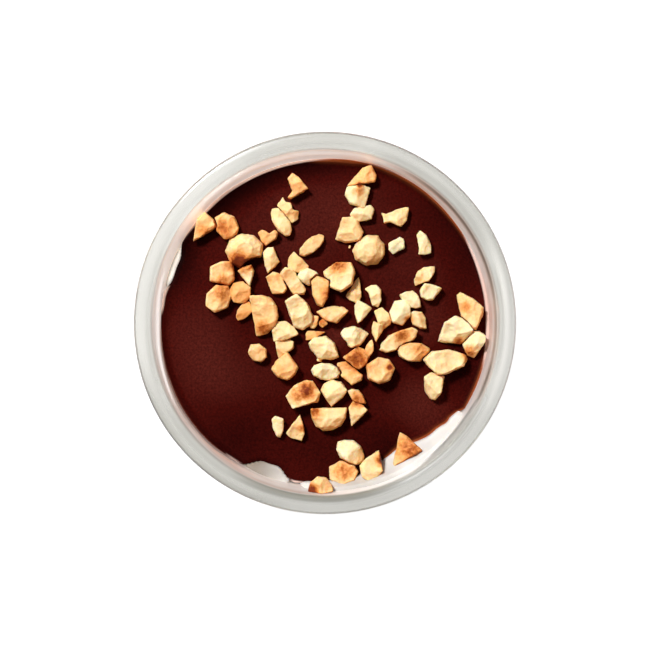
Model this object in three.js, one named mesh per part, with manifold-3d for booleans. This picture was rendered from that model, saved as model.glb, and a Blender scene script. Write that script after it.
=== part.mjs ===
import * as THREE from "three";
import { ConvexGeometry } from "three/addons/geometries/ConvexGeometry.js";
import { mergeVertices } from "three/addons/utils/BufferGeometryUtils.js";
import Module from "manifold-3d";

// An open glass jar of semifreddo: white cream under a layer of chocolate ganache, scattered with
// chopped roasted hazelnuts. Millimetres, +Z up, origin at the middle of the base, +Y to the back.

// Jar
const JAR_HEIGHT = 62;
const LIP_RADIUS = 42;
const MOUTH_RADIUS = 38.1;
const LIP_TOP = [39.2, 41.1]; // radii between which the lip is nearly level
const LIP_CROWN = 0.12; // how far the lip rises between them
const LIP_DEPTH = 1.8; // from the rim down to where the inner wall starts
const LIP_HEIGHT = 7; // from the rim down to the lip's under side
const LIP_CORNER = 0.8; // radius of its outer corner below
const WALL = 2; // thickness of the wall from the lip down to the ganache
const HEEL_RADIUS = 33.2; // outer wall where it turns in to the base
const HEEL_HEIGHT = 6;
const STANDING_RING = [25.5, 29.5]; // inner and outer radius of the flat ring it stands on
const RING_BEND = 0.85; // where the base bends down to that ring, as a share of its inner radius
const PUSH_UP = 1.4; // how far the middle of the base is raised
const FLOOR_HEIGHT = 5; // inside, at the middle
const FLOOR_RADIUS = 25;
const FLOOR_EDGE_RADIUS = 30.4; // inner wall where it turns in to the floor
const FLOOR_EDGE_HEIGHT = 9.5;
const FLOOR_TURN = 0.7; // how far inside its edge the floor's bend is drawn to
const AROUND = 60; // facets around the jar
const CONTENTS_AROUND = 72;

// Contents
const GANACHE_LEVEL = 51.5;
const GANACHE_THICKNESS = 4;
const WALL_RADIUS_AT_LEVEL = 36.4; // inner wall at the ganache's surface
const GAP = 0.3; // between touching pieces
const SAME_LEVEL = 0.01; // heights closer than this count as the same
const WELD = 1e-4; // corners closer than this are one corner
const CREAM_OVER_GANACHE = 0.3; // how far the bare cream stands above the ganache beside it
const CREAM_STEP = 1 / 3; // share of its bank over which it rises that far
const OPEN_ABOVE = 10; // the ganache's space in the cream stays open to above the rim
const EDGE_ROUND = 0.3; // how far the ganache's top edge is rounded in
const RIPPLE = 0.24; // height of the slow waves in the ganache's surface
const WAVES = [[3, 5], [2, -7]]; // each wave's count around, and its twist from the middle to the edge

// Where the ganache falls short of the wall, so that the cream shows: direction, depth, half width
// in degrees, and how far the cream climbs the wall there.
const BITES = [
  { at: 160, depth: 1.1, spread: 7.6, climb: 0.4 },
  { at: 249, depth: 2.7, spread: 7.2, climb: 0.5 },
  { at: 279, depth: 1.2, spread: 18, climb: 3.8 },
  { at: 296, depth: 2, spread: 12, climb: 1.4 },
  { at: 309, depth: 2.1, spread: 14, climb: 3.2 },
  { at: 324.5, depth: 0.7, spread: 3, climb: 0.5 },
];
const CREAM_BANK_START = 29; // radius from which the cream curves up to the wall
const CREAM_RINGS = [34.6, 33, 31, CREAM_BANK_START];
const GANACHE_RINGS = 6;
const EDGE_MARGIN = 0.6; // a nut this close to the ganache's edge lies on the cream

// Hazelnut pieces that are at least 6 mm long. Each outline is one unit long and one unit wide, and
// a negative width mirrors it.
const OUTLINES = {
  wedge: [
    [0.5, -0.06], [0.12, 0.22], [-0.32, 0.5], [-0.44, 0.2], [-0.5, -0.4], [-0.2, -0.5], [0.1, -0.34],
  ],
  slab: [[0.5, 0.14], [0.38, 0.46], [-0.3, 0.5], [-0.5, 0.12], [-0.42, -0.44], [0.3, -0.5]],
  loaf: [
    [0.5, -0.2], [0.42, 0.34], [0.26, 0.5], [-0.14, 0.46], [-0.5, 0.16], [-0.46, -0.46], [0.34, -0.5],
  ],
  chunk: [
    [0.5, -0.08], [0.36, 0.36], [-0.06, 0.5], [-0.44, 0.3], [-0.5, -0.18], [-0.1, -0.5], [0.32, -0.42],
  ],
  kite: [
    [0.5, -0.04], [0.12, 0.36], [-0.14, 0.5], [-0.42, 0.26], [-0.5, -0.1], [-0.3, -0.4], [-0.04, -0.5],
    [0.2, -0.26],
  ],
  leaf: [
    [0.5, 0], [0.16, 0.42], [-0.14, 0.5], [-0.4, 0.2], [-0.5, -0.14], [-0.28, -0.38], [0, -0.5],
    [0.34, -0.26],
  ],
  block: [
    [0.5, 0.28], [0.08, 0.4], [-0.36, 0.5], [-0.5, 0.14], [-0.44, -0.42], [-0.1, -0.5], [0.3, -0.32],
    [0.5, -0.14],
  ],
  fan: [
    [0.5, 0.16], [0.22, 0.4], [0.02, 0.5], [-0.32, 0.42], [-0.5, 0.2], [-0.22, -0.36], [-0.12, -0.5],
    [0.22, -0.38],
  ],
  bullet: [
    [0.5, 0.18], [0.34, 0.5], [-0.14, 0.46], [-0.44, 0.22], [-0.5, -0.06], [-0.22, -0.38], [0.34, -0.5],
  ],
  shard: [[0.5, 0], [-0.06, 0.42], [-0.26, 0.5], [-0.5, -0.36], [-0.5, -0.5]],
  crag: [
    [0.5, 0.13], [0.4, 0.48], [-0.09, 0.5], [-0.5, 0.17], [-0.34, -0.34], [0.07, -0.5], [0.4, -0.24],
  ],
  shell: [
    [0.5, 0.1], [0.12, 0.36], [-0.37, 0.5], [-0.5, 0.42], [-0.46, 0.1], [-0.27, -0.28], [0.22, -0.5],
    [0.5, -0.08],
  ],
  roof: [
    [0.5, -0.03], [0.4, 0.16], [0.21, 0.38], [-0.02, 0.5], [-0.35, 0.26], [-0.5, -0.38], [0.14, -0.5],
  ],
  boot: [
    [0.5, 0.32], [0.24, 0.5], [0, 0.5], [-0.5, 0.03], [-0.46, -0.12], [-0.29, -0.41], [0, -0.5],
    [0.5, 0.12],
  ],
  slope: [
    [0.5, 0.12], [0.46, 0.3], [0.07, 0.5], [-0.3, 0.43], [-0.5, 0.1], [-0.39, -0.2], [-0.17, -0.5],
    [0.02, -0.47], [0.44, -0.14],
  ],
  oval: arcOutline(0, 324, 10, 0, 0.5),
  half: arcOutline(-8, 188, 8, -0.3, 0.8),
  cap: arcOutline(0, 320, 9, 0, 0.5),
};
// Share of the height and of the outline for each ring of points, from the bottom up.
const CHOPPED = [[0, 0.86], [0.45, 1], [0.88, 0.97], [1, 0.88]];
const ROUNDED = [[0, 0.86], [0.32, 1], [0.7, 0.84], [1, 0.44]];
const ROUND_KINDS = ["cap"];
const UNEVEN = 0.07; // how far a corner strays from its outline, as a share of the piece
const TOP_TILT = [0.1, 0.3]; // slope of a chopped top face, from and to
const ROUND_TILT = 0.1;
const RIDGE_SLOPE = 0.4; // slope of the two sides of a ridged top
const RIDGED = 0.65; // share of the chopped pieces that have a ridge
const BOTTOM_FOLLOW = 0.5; // how far a piece's under side may follow the surface up or down

// kind, x, y, length, width, turn in degrees, height
const HAZELNUTS = [
  ["cap", 9.8, 16.2, 7.7, 7.1, 20, 4.5],
  ["cap", -17.8, 15.9, 8.4, 8.4, 60, 4.8],
  ["half", -13.4, 2, 9.2, 6.4, -80, 4.6],
  ["half", 0.7, -21.2, 8.1, 5.7, 180, 4.2],
  ["bullet", -0.9, 7, 6.7, 4.1, 92, 3.6],
  ["leaf", -0.1, -5.7, 7.9, 5.1, -30, 4],
  ["wedge", 8.2, 31.9, 7, 4.2, 209, 3.3],
  ["wedge", -27, 20.8, 7, 4.7, 236, 3.3],
  ["bullet", 24.2, -14.1, 6.4, 4.4, 90, 3.3],
  ["kite", 1.9, -15.5, 6.3, 6, -95, 3.6],
  ["shard", 18.3, -28.2, 6.4, 7.6, 0, 3.1],
  ["block", 5.4, 20.7, 5.8, 6, 90, 3.8],
  ["roof", 29, -1.5, 7.8, 6.7, 0, 3.8],
  ["shell", 32.2, 2.6, 5.7, 8.2, 0, 3.6],
  ["slope", 26.5, -8.7, 9.9, 5.7, 0, 3.8],
  ["chunk", -21.8, 21.5, 6.1, 5.2, -50, 3.6],
  ["loaf", -5.6, 2.4, 8, 4.9, -68, 3.6],
  ["oval", 0.2, -10.8, 6.6, 3.8, -6, 3.3],
  ["loaf", -5, -15.7, 7.4, 5.5, 20, 4],
  ["leaf", -3.3, 10.1, 6.1, 3.8, -12, 3.1],
  ["oval", 5.7, -28.6, 7, 4.8, -38, 3.6],
  ["slab", 5.3, -11.2, 6.8, 3.3, -37, 3.1],
  ["crag", 3.1, 10.2, 7.1, 6.9, 0, 4.4],
  ["oval", 19.8, -6.5, 7.5, 4.3, -6, 3.6],
  ["chunk", 12.3, -10.5, 6.2, -6.2, 0, 4],
  ["chunk", -23.6, 5.4, 6.8, 5.6, 60, 4],
  ["chunk", 4.1, -33.1, 6.6, 5.5, 10, 3.3],
  ["fan", 6.5, -3.2, 6.6, 4.8, 0, 3.6],
  ["boot", 33.1, -4.9, 5.2, 6.2, 0, 3.3],
  ["fan", 1.7, 1.9, 7.2, -3.8, 180, 3.3],
  ["kite", -8.8, -9.5, 6.5, 6.1, 88, 4],
  ["kite", 10.5, -31.5, 7.6, 5.2, 70, 3.3],
  ["oval", -2.9, 17.3, 7, 3.2, 38, 2.6],
  ["oval", -9.7, 22.4, 7.4, 3.4, -57, 3.1],
  ["oval", 16.4, -3.8, 9.3, 3.9, 27, 3.3],
  ["slab", -7, 9, 7.5, 3.2, -56, 2.9],
];
// Broken places: the number of the piece, then x, y, length, width and turn of what is missing.
const NICKS = [
  [1, 13.3, 18.9, 3.4, 2.4, -50],
  [2, -16.2, 12.9, 6.2, 2.8, 33],
  [13, 26.1, 1.8, 2.8, 2.2, 30],
  [15, 30.6, -10.8, 4, 2, 25],
  [26, -26.1, 8, 2.8, 2, 30],
  [28, 3.3, -4.9, 3.6, 3.2, 0],
];
const NICK_AROUND = 14;
const NICK_HEIGHT = 8;

const MATERIALS = {
  glass: new THREE.MeshStandardMaterial({
    color: 0xd3cec6,
    roughness: 0.05,
    transparent: true,
    opacity: 0.35,
  }),
  cream: new THREE.MeshStandardMaterial({ color: 0xfaf6ee, roughness: 0.6 }),
  ganache: new THREE.MeshStandardMaterial({ color: 0x48180f, roughness: 0.35 }),
  hazelnut: new THREE.MeshStandardMaterial({ color: 0xf0c98a, roughness: 0.7 }),
};

const wasm = await Module();
wasm.setup();

function arcOutline(startDegrees, endDegrees, count, centreY, radiusY) {
  const points = [];
  for (let i = 0; i < count; i++) {
    const angle = THREE.MathUtils.degToRad(startDegrees + ((endDegrees - startDegrees) * i) / (count - 1));
    points.push([0.5 * Math.cos(angle), centreY + radiusY * Math.sin(angle)]);
  }
  return points;
}

/** A random number from 0 to 1, the same one for the same seed. */
function chance(seed) {
  const wave = Math.sin(seed * 12.9898) * 43758.5453;
  return wave - Math.floor(wave);
}

/** The geometry with shared corners merged and the empty triangles at the axis dropped. */
function welded(geometry) {
  const bare = geometry.clone();
  bare.deleteAttribute("normal");
  bare.deleteAttribute("uv");
  const merged = mergeVertices(bare, WELD);
  const index = [];
  for (let i = 0; i < merged.index.count; i += 3) {
    const corners = [0, 1, 2].map((k) => merged.index.getX(i + k));
    if (new Set(corners).size === 3) index.push(...corners);
  }
  merged.setIndex(index);
  return merged;
}

function toSolid(geometry) {
  const merged = welded(geometry);
  const vertProperties = new Float32Array(merged.attributes.position.array);
  const triVerts = new Uint32Array(merged.index.array);
  return new wasm.Manifold(new wasm.Mesh({ numProp: 3, vertProperties, triVerts }));
}

function toGeometry(solid) {
  const mesh = solid.getMesh();
  const geometry = new THREE.BufferGeometry();
  geometry.setAttribute("position", new THREE.BufferAttribute(new Float32Array(mesh.vertProperties), 3));
  geometry.setIndex(Array.from(mesh.triVerts));
  geometry.computeVertexNormals();
  return geometry;
}

/** Turns a profile of [radius, height] points about the Z axis. */
function turned(points, around) {
  const geometry = new THREE.LatheGeometry(points, around);
  geometry.rotateX(Math.PI / 2);
  return welded(geometry);
}

/** The jar's inner wall: its radius at a height, wider towards the mouth. */
function innerWall(height) {
  const mouth = JAR_HEIGHT - LIP_DEPTH;
  const [low, lowRadius, high, highRadius] =
    height > GANACHE_LEVEL
      ? [GANACHE_LEVEL, WALL_RADIUS_AT_LEVEL, mouth, MOUTH_RADIUS]
      : [FLOOR_EDGE_HEIGHT, FLOOR_EDGE_RADIUS, GANACHE_LEVEL, WALL_RADIUS_AT_LEVEL];
  return lowRadius + ((height - low) * (highRadius - lowRadius)) / (high - low);
}

function jarGeometry() {
  const [ringInner, ringOuter] = STANDING_RING;
  const rim = JAR_HEIGHT;
  const crest = rim - LIP_CROWN;
  const under = rim - LIP_HEIGHT;
  const neck = innerWall(under) + WALL;
  const [lipInner, lipOuter] = LIP_TOP;
  const profile = new THREE.Path();
  profile.moveTo(0, PUSH_UP);
  profile.quadraticCurveTo(ringInner * RING_BEND, PUSH_UP, ringInner, 0);
  profile.lineTo(ringOuter, 0);
  profile.quadraticCurveTo(HEEL_RADIUS, 0, HEEL_RADIUS, HEEL_HEIGHT);
  profile.lineTo(WALL_RADIUS_AT_LEVEL + WALL, GANACHE_LEVEL);
  profile.lineTo(neck, under);
  profile.lineTo(LIP_RADIUS - LIP_CORNER, under);
  profile.quadraticCurveTo(LIP_RADIUS, under, LIP_RADIUS, under + LIP_CORNER);
  profile.lineTo(LIP_RADIUS, rim - LIP_DEPTH);
  profile.quadraticCurveTo(LIP_RADIUS, crest, lipOuter, crest);
  profile.quadraticCurveTo((lipInner + lipOuter) / 2, rim + LIP_CROWN, lipInner, crest);
  profile.quadraticCurveTo(MOUTH_RADIUS, crest, MOUTH_RADIUS, rim - LIP_DEPTH);
  profile.lineTo(WALL_RADIUS_AT_LEVEL, GANACHE_LEVEL);
  profile.lineTo(FLOOR_EDGE_RADIUS, FLOOR_EDGE_HEIGHT);
  profile.quadraticCurveTo(FLOOR_EDGE_RADIUS - FLOOR_TURN, FLOOR_HEIGHT, FLOOR_RADIUS, FLOOR_HEIGHT);
  profile.lineTo(0, FLOOR_HEIGHT);
  return turned(profile.getPoints(4), AROUND);
}

/** How strongly each bite acts in a direction: the sum of depth or climb with a soft fall-off. */
function bite(angle, property) {
  let total = 0;
  for (const b of BITES) {
    const away = THREE.MathUtils.euclideanModulo(angle - b.at + 180, 360) - 180;
    total += b[property] * Math.exp(-((away / b.spread) ** 4));
  }
  return total;
}

/** Moves each corner of a turned geometry: move gets direction in degrees, radius and height. */
function reshaped(geometry, move) {
  const position = geometry.attributes.position;
  for (let i = 0; i < position.count; i++) {
    const [x, y] = [position.getX(i), position.getY(i)];
    const radius = Math.hypot(x, y);
    const angle = THREE.MathUtils.radToDeg(Math.atan2(y, x));
    const [newRadius, newHeight] = move(angle, radius, position.getZ(i));
    const scale = radius > 0 ? newRadius / radius : 0;
    position.setXYZ(i, x * scale, y * scale, newHeight);
  }
  return geometry;
}

/** The ganache's surface: a level with slow waves that die out at the edge. */
function ganacheSurface(angle, radius) {
  const share = radius / WALL_RADIUS_AT_LEVEL;
  const turn = THREE.MathUtils.degToRad(angle);
  const waves = WAVES.reduce((sum, [count, twist]) => sum + Math.sin(count * turn + twist * share), 0);
  return GANACHE_LEVEL + RIPPLE * waves * share * (1 - share * share);
}

/** The ganache layer, or with grow the space that it needs in the cream. */
function ganacheGeometry(grow) {
  const edge = WALL_RADIUS_AT_LEVEL - GAP;
  const bottom = GANACHE_LEVEL - GANACHE_THICKNESS - grow;
  const slant = innerWall(bottom) - WALL_RADIUS_AT_LEVEL;
  const profile = [new THREE.Vector2(0, bottom), new THREE.Vector2(edge + slant, bottom)];
  const round = grow > 0 ? 0 : EDGE_ROUND;
  profile.push(new THREE.Vector2(edge, GANACHE_LEVEL - 2 * EDGE_ROUND));
  profile.push(new THREE.Vector2(edge - round, GANACHE_LEVEL));
  for (let ring = GANACHE_RINGS - 1; ring >= 0; ring--) {
    profile.push(new THREE.Vector2((edge * ring) / GANACHE_RINGS, GANACHE_LEVEL));
  }
  return reshaped(turned(profile, CONTENTS_AROUND), (angle, radius, height) => {
    const reach = (edge - bite(angle, "depth") + grow) / edge;
    if (height < GANACHE_LEVEL - SAME_LEVEL) return [radius * reach, height];
    return [radius * reach, ganacheSurface(angle, radius) + (grow > 0 ? OPEN_ABOVE : 0)];
  });
}

/** The cream's own surface: level under the ganache's edge, curving up to the wall at a bite. */
function creamSurface(angle, radius) {
  const bank = WALL_RADIUS_AT_LEVEL - CREAM_BANK_START;
  const rise = THREE.MathUtils.clamp((radius - CREAM_BANK_START) / bank, 0, 1);
  const climb = bite(angle, "climb");
  const above = Math.min(1, climb) * CREAM_OVER_GANACHE;
  return GANACHE_LEVEL + above * Math.min(1, rise / CREAM_STEP) + climb * rise ** 3;
}

function creamGeometry() {
  const edge = WALL_RADIUS_AT_LEVEL - GAP;
  const under = FLOOR_HEIGHT + GAP;
  const lowEdge = FLOOR_EDGE_RADIUS - GAP;
  const profile = new THREE.Path();
  profile.moveTo(0, under);
  profile.lineTo(FLOOR_RADIUS - GAP, under);
  profile.quadraticCurveTo(lowEdge - FLOOR_TURN, under, lowEdge, FLOOR_EDGE_HEIGHT + GAP);
  profile.lineTo(innerWall(GANACHE_LEVEL - 1) - GAP, GANACHE_LEVEL - 1);
  profile.lineTo(edge, GANACHE_LEVEL);
  for (const radius of CREAM_RINGS) profile.lineTo(radius, GANACHE_LEVEL);
  profile.lineTo(0, GANACHE_LEVEL);
  const blank = reshaped(turned(profile.getPoints(4), CONTENTS_AROUND), (angle, radius, height) => {
    if (height < GANACHE_LEVEL - SAME_LEVEL) return [radius, height];
    const surface = creamSurface(angle, radius);
    const onWall = radius > edge - SAME_LEVEL;
    return [onWall ? innerWall(surface) - GAP : radius, surface];
  });
  const pieces = toSolid(blank).subtract(toSolid(ganacheGeometry(GAP))).decompose();
  pieces.sort((a, b) => b.volume() - a.volume());
  return toGeometry(pieces[0]);
}

/** Height of what lies under a point: the ganache, or the bare cream at the wall. */
function supportHeight(x, y) {
  const radius = Math.hypot(x, y);
  const angle = THREE.MathUtils.radToDeg(Math.atan2(y, x));
  const edge = WALL_RADIUS_AT_LEVEL - GAP - bite(angle, "depth");
  if (radius > edge - EDGE_MARGIN) return Math.max(creamSurface(angle, radius), GANACHE_LEVEL);
  return ganacheSurface(angle, radius);
}

/** How a piece's top sinks away from its middle: a tilted plane, or the two sides of a ridge. */
function topSlope(kind, seed) {
  const towards = 2 * Math.PI * chance(seed + 0.5);
  const [across, up] = [Math.cos(towards), Math.sin(towards)];
  const round = ROUND_KINDS.includes(kind);
  const tilt = round ? ROUND_TILT : THREE.MathUtils.lerp(...TOP_TILT, chance(seed + 0.7));
  const ridge = !round && chance(seed + 0.9) < RIDGED ? RIDGE_SLOPE : 0;
  return (dx, dy) => {
    const away = dx * across + dy * up;
    return tilt * away - ridge * Math.abs(away);
  };
}

/** One chopped piece as the hull of its rings of corners, or with grow the space around it. */
function hazelnutGeometry([kind, x, y, length, width, turn, height], seed, grow) {
  const rings = ROUND_KINDS.includes(kind) ? ROUNDED : CHOPPED;
  const base = supportHeight(x, y);
  const turnBy = THREE.MathUtils.degToRad(turn);
  const slope = topSlope(kind, seed);
  const corners = [];
  rings.forEach(([rise, share], level) => {
    OUTLINES[kind].forEach(([u, v], corner) => {
      const stray = 1 + UNEVEN * (2 * chance(100 * seed + 10 * level + corner) - 1);
      const reach = share * stray + (2 * grow) / Math.min(length, Math.abs(width));
      const [along, across] = [u * length * reach, v * width * reach];
      const dx = along * Math.cos(turnBy) - across * Math.sin(turnBy);
      const dy = along * Math.sin(turnBy) + across * Math.cos(turnBy);
      const above = supportHeight(x + dx, y + dy) - base;
      const follow = THREE.MathUtils.clamp(above, -BOTTOM_FOLLOW, BOTTOM_FOLLOW);
      const spare = rise > 0 ? grow : -grow;
      const z = base + follow + GAP + rise * (height + slope(dx, dy)) + spare;
      corners.push(new THREE.Vector3(x + dx, y + dy, z));
    });
  });
  return new ConvexGeometry(corners);
}

/** What is missing from a piece with this number: a long ball at each of its nicks. */
function nicks(number) {
  return NICKS.filter(([piece]) => piece === number).map(([, x, y, length, width, turn]) => {
    const ball = new THREE.SphereGeometry(0.5, NICK_AROUND, NICK_AROUND / 2);
    ball.scale(length, width, NICK_HEIGHT).rotateZ(THREE.MathUtils.degToRad(turn));
    return toSolid(ball).translate([x, y, supportHeight(x, y) + NICK_HEIGHT / 3]);
  });
}

/** Cuts from each piece the room that the cream and the pieces before it need. */
function hazelnutGeometries(cream) {
  const spaces = [toSolid(cream).translate([0, 0, GAP])];
  return HAZELNUTS.map((row, i) => {
    let solid = toSolid(hazelnutGeometry(row, i + 1, 0));
    for (const space of [...spaces, ...nicks(i + 1)]) solid = solid.subtract(space);
    spaces.push(toSolid(hazelnutGeometry(row, i + 1, GAP)));
    const pieces = solid.decompose();
    pieces.sort((a, b) => b.volume() - a.volume());
    return toGeometry(pieces[0]);
  });
}

function named(name, geometry, material) {
  const mesh = new THREE.Mesh(geometry, material);
  mesh.name = name;
  return mesh;
}

const semifreddoJar = new THREE.Group();
semifreddoJar.add(named("jar", jarGeometry(), MATERIALS.glass));
const cream = creamGeometry();
semifreddoJar.add(named("semifreddo", cream, MATERIALS.cream));
semifreddoJar.add(named("ganache", ganacheGeometry(0), MATERIALS.ganache));
hazelnutGeometries(cream).forEach((geometry, i) => {
  const number = String(i + 1).padStart(2, "0");
  semifreddoJar.add(named(`hazelnut_${number}`, geometry, MATERIALS.hazelnut));
});

export default semifreddoJar;
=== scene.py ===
"""A glass jar of semifreddo with ganache and chopped hazelnuts, modelled round the CAD frame."""
import math
import random

import bpy
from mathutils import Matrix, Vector, noise


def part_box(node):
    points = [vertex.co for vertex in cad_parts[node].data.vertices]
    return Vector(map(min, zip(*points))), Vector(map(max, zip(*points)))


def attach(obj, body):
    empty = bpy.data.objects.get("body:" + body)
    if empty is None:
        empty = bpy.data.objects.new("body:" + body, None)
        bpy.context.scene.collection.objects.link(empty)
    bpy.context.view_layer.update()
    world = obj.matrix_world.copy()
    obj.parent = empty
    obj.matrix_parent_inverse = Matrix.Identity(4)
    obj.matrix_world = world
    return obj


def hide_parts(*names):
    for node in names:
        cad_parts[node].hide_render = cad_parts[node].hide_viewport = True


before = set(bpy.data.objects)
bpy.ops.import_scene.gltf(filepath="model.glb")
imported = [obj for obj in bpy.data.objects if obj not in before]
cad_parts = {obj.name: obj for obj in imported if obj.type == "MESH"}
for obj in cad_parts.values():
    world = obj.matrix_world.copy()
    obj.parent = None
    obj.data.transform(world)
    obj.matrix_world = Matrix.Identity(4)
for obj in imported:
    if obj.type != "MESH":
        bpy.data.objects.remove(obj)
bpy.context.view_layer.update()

MM = 0.001

# Jar, in mm from its base and its axis, in step with the CAD jar's own outline
JAR_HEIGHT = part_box("jar")[1][2] / MM
LIP_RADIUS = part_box("jar")[1][0] / MM
LIP_TOP = (39.2, 41.1)  # radii between which the lip is nearly level
LIP_CROWN = 0.12
LIP_DEPTH = 1.8  # from the rim down to where the inner wall starts
LIP_HEIGHT = 7.0  # from the rim down to the lip's under side
LIP_CORNER = 0.8  # radius of its outer corner below
MOUTH_RADIUS = 38.1
WALL = 2.0  # thickness of the wall from the lip down to the ganache
HEEL_RADIUS = 33.2
HEEL_HEIGHT = 6.0
RING_INNER, RING_OUTER = 25.5, 29.5
PUSH_UP = 1.4  # how high the base is raised inside the ring it stands on
PUSH_UP_FLAT, PUSH_UP_BEND = 0.4, 0.9  # shares of the ring's radius where it is flat and where it bends
NECK_BEND = 0.5  # radius of the bend where the wall meets the lip
NECK_DRAFT = 0.05
FLOOR_HEIGHT = 5.0  # of the jar's inside, where the contents stand
FLOOR_RADIUS = 25.0
FLOOR_EDGE_RADIUS = 30.4
FLOOR_EDGE_HEIGHT = 9.5
FLOOR_TURN = 0.7  # how far inside its edge the floor's bend is drawn to

# Contents
GANACHE_LEVEL = 51.5
GANACHE_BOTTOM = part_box("ganache")[0][2] / MM
WALL_RADIUS_AT_LEVEL = 36.4
CREAM_INTO_WALL = 0.2
GANACHE_INTO_WALL = 0.12
# Direction in degrees, depth, half width in degrees and climb of each place where cream shows
BITES = [
    (160, 1.1, 7.6, 0.4),
    (249, 2.7, 7.2, 0.5),
    (279, 1.2, 18, 3.8),
    (296, 2.0, 12, 1.4),
    (309, 2.1, 14, 3.2),
    (324.5, 0.7, 3, 0.5),
]
# Direction, half width in degrees and height of the places where ganache creeps up the glass
CREEPS = [(80, 8, 0.8), (128, 7, 0.6), (218, 19, 1.2), (58, 15, 1.2), (20, 40, 0.15)]
CREAM_BANK_START = 29.0
CREAM_SHOWS = (0.15, 0.7)  # depth in mm of a gap over which the cream comes to show in it
CREAM_STEP = 0.7  # how wide its rise beside the ganache is
CREAM_BUMPS = 0.22
CREAM_PROUD = 0.3  # how far the bare cream stands above the ganache
CRESCENT = (160, 12)  # direction and half width in degrees of bare cream given painted light, a glow as if lit through the glass
# Direction, half width in degrees and strength of the places where painted shade darkens the bare cream
CREAM_SHADES = [(243, 9.5, 1.0), (282, 10, 0.4)]
SEAM_WAVE = 0.45  # how much the seam between cream and ganache rises and falls
GANACHE_UNDER = 1.2  # how far the ganache reaches down into the cream
GANACHE_WAVES = 0.24  # how much its surface rises and falls
BLEND_WIDTH = 12.0  # how far in from its edge the ganache's rings close up to make room for a gap
CLOSE_RINGS = 2.4  # how wide the band of close rings at its edge is
EDGE_WAVER = 0.16  # how uneven its edge is where it ends on cream
EDGE_DROP, EDGE_ROUND = 0.3, 1.6  # how far the surface drops to that edge, and over what width
CREEP_WIDTH = 2.2  # how far in from the glass the surface rises towards it
SHADED_SIDE = (124, 44)  # direction and half width in degrees of the side darkened with painted shade
# Direction, half width in degrees and strength of the places where painted shade makes the lip greyer
LIP_SHADES = [(226, 32, 0.33), (270, 24, 0.09), (48, 34, 0.27), (95, 26, 0.25)]
# The same for the soft dark line of painted shade along the lip's inner edge
LINE_SHADES = [
    (268, 34, 1.0), (226, 24, 0.45), (314, 24, 0.66), (48, 32, 0.52), (4, 22, 0.5), (180, 30, 0.38),
    (106, 32, 0.32),
]
# The same for a dark line of painted shade round the inner wall below the lip, which also browns the film
SEAM_SHADES = [(32, 32, 1.0), (356, 18, 0.75), (340, 10, 1.0), (258, 13, 0.35)]
# Direction, half width in degrees, strength and height in mm of the brown stains in the film
FILM_STAINS = [
    (217, 20, 0.8, 5.0), (219, 25, 0.32, 11.0), (62, 20, 0.5, 4.0), (70, 7, 0.3, 4.0), (190, 10, 0.7, 3.2),
    (357, 18, 0.2, 8.0),
]
# Direction, half width in degrees and width in mm of the places where cream smears the ganache's edge
MILKY_EDGES = [(118, 30, 0.5), (171, 6, 0.45), (236, 4, 0.25), (261, 5, 0.4), (8, 23, 0.6)]
# Bands of painted shade and painted light round the lip: the radii in mm from where each is nothing to where
# it is full
# the dark line of painted shade by the lip's inner edge
LINE_BAND = (39.9, 38.9)
# painted shade over the lip's top, deeper towards its outer edge
GREY_BAND = (38.9, 39.6)
DEEPER_BAND = (40.4, 41.0)
GREY_DEEPENS = 0.35
SHADE_STREAKS = 0.1  # how far fine streaks of painted shade change how dark the lip is
# painted light: a pale glow over the lip's top on one side
PALE_BAND = (38.8, 39.6)
PALE_END = (41.0, 40.0)
PALE_LIGHT = 0.2
CORNER_BAND = (41.2, 41.7)
CORNER_LIGHT, CORNER_SIDE_LIGHT = 0.12, 0.16  # painted light on the lip's outer corner: all round, and how much more on its bright side
# The same in mm below the rim
LINE_DEPTHS = (4.4, 2.4)
CORNER_DEPTHS = (2.2, 1.2)
# Direction and half width in degrees of the side where the lip gets painted light, and where its corner gets
# most
PALE_SIDE = (358, 27)
CORNER_SIDE = (18, 45)
# painted glow in the jar's heel
HEEL_LIGHT = 0.3
# The film on the inner wall, with heights in mm above the ganache
FILM_END = (10.0, 9.0)
FILM_THICK, FILM_STREAKS = 0.5, 0.3
FILM_COLOUR = 0.26  # from 0 white to 1 dark brown
# heights above the ganache of the dark lines of painted shade on the inner wall
SEAM_HEIGHT, SEAM_HALF = 6.6, 1.7
LINE_HEIGHT, LINE_SOFTNESS = 6.8, 1.8
LINE_DIP = (322, 16, 4.0)  # where the dark line of painted shade reaches lower, how wide in degrees, and by how much
# A painted highlight, a bright arc, runs through the film: direction and half width in degrees, and of its
# brighter end
ARC = (200, 44)
ARC_END = (240, 9)
ARC_HEIGHT, ARC_HALF = 4.3, 1.4
ARC_BENDS = [(214, 13, 2.1), (240, 9, -0.9), (180, 9, -1.3)]  # direction, half width and how much higher
ARC_WIDENS = (178, 13, 1.3)  # the same for how much wider it is
ARC_WHITE = (214, 198)  # directions from where the arc is as brown as the film to where it is white
ARC_THICK = 0.85
CLEAN_SIDE = (303, 30)  # direction and half width of the side where the film is whiter
CLEANER = 0.7
LIGHT_FROM = 120  # direction from which the painted light in the film seems to come
LIGHT_THROUGH = 0.8
LOW_LIGHT = (68, 42)  # direction and half width of painted light low in the film
LOW_LIGHT_STRENGTH, LOW_LIGHT_HEIGHT = 0.25, 4.0
# Direction, half width in degrees and strength of the places where the ganache's edge glows brown
GLOWS = [(52, 34, 0.78), (86, 14, 0.9), (310, 24, 0.9), (343, 22, 0.8), (112, 22, 0.5)]
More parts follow.
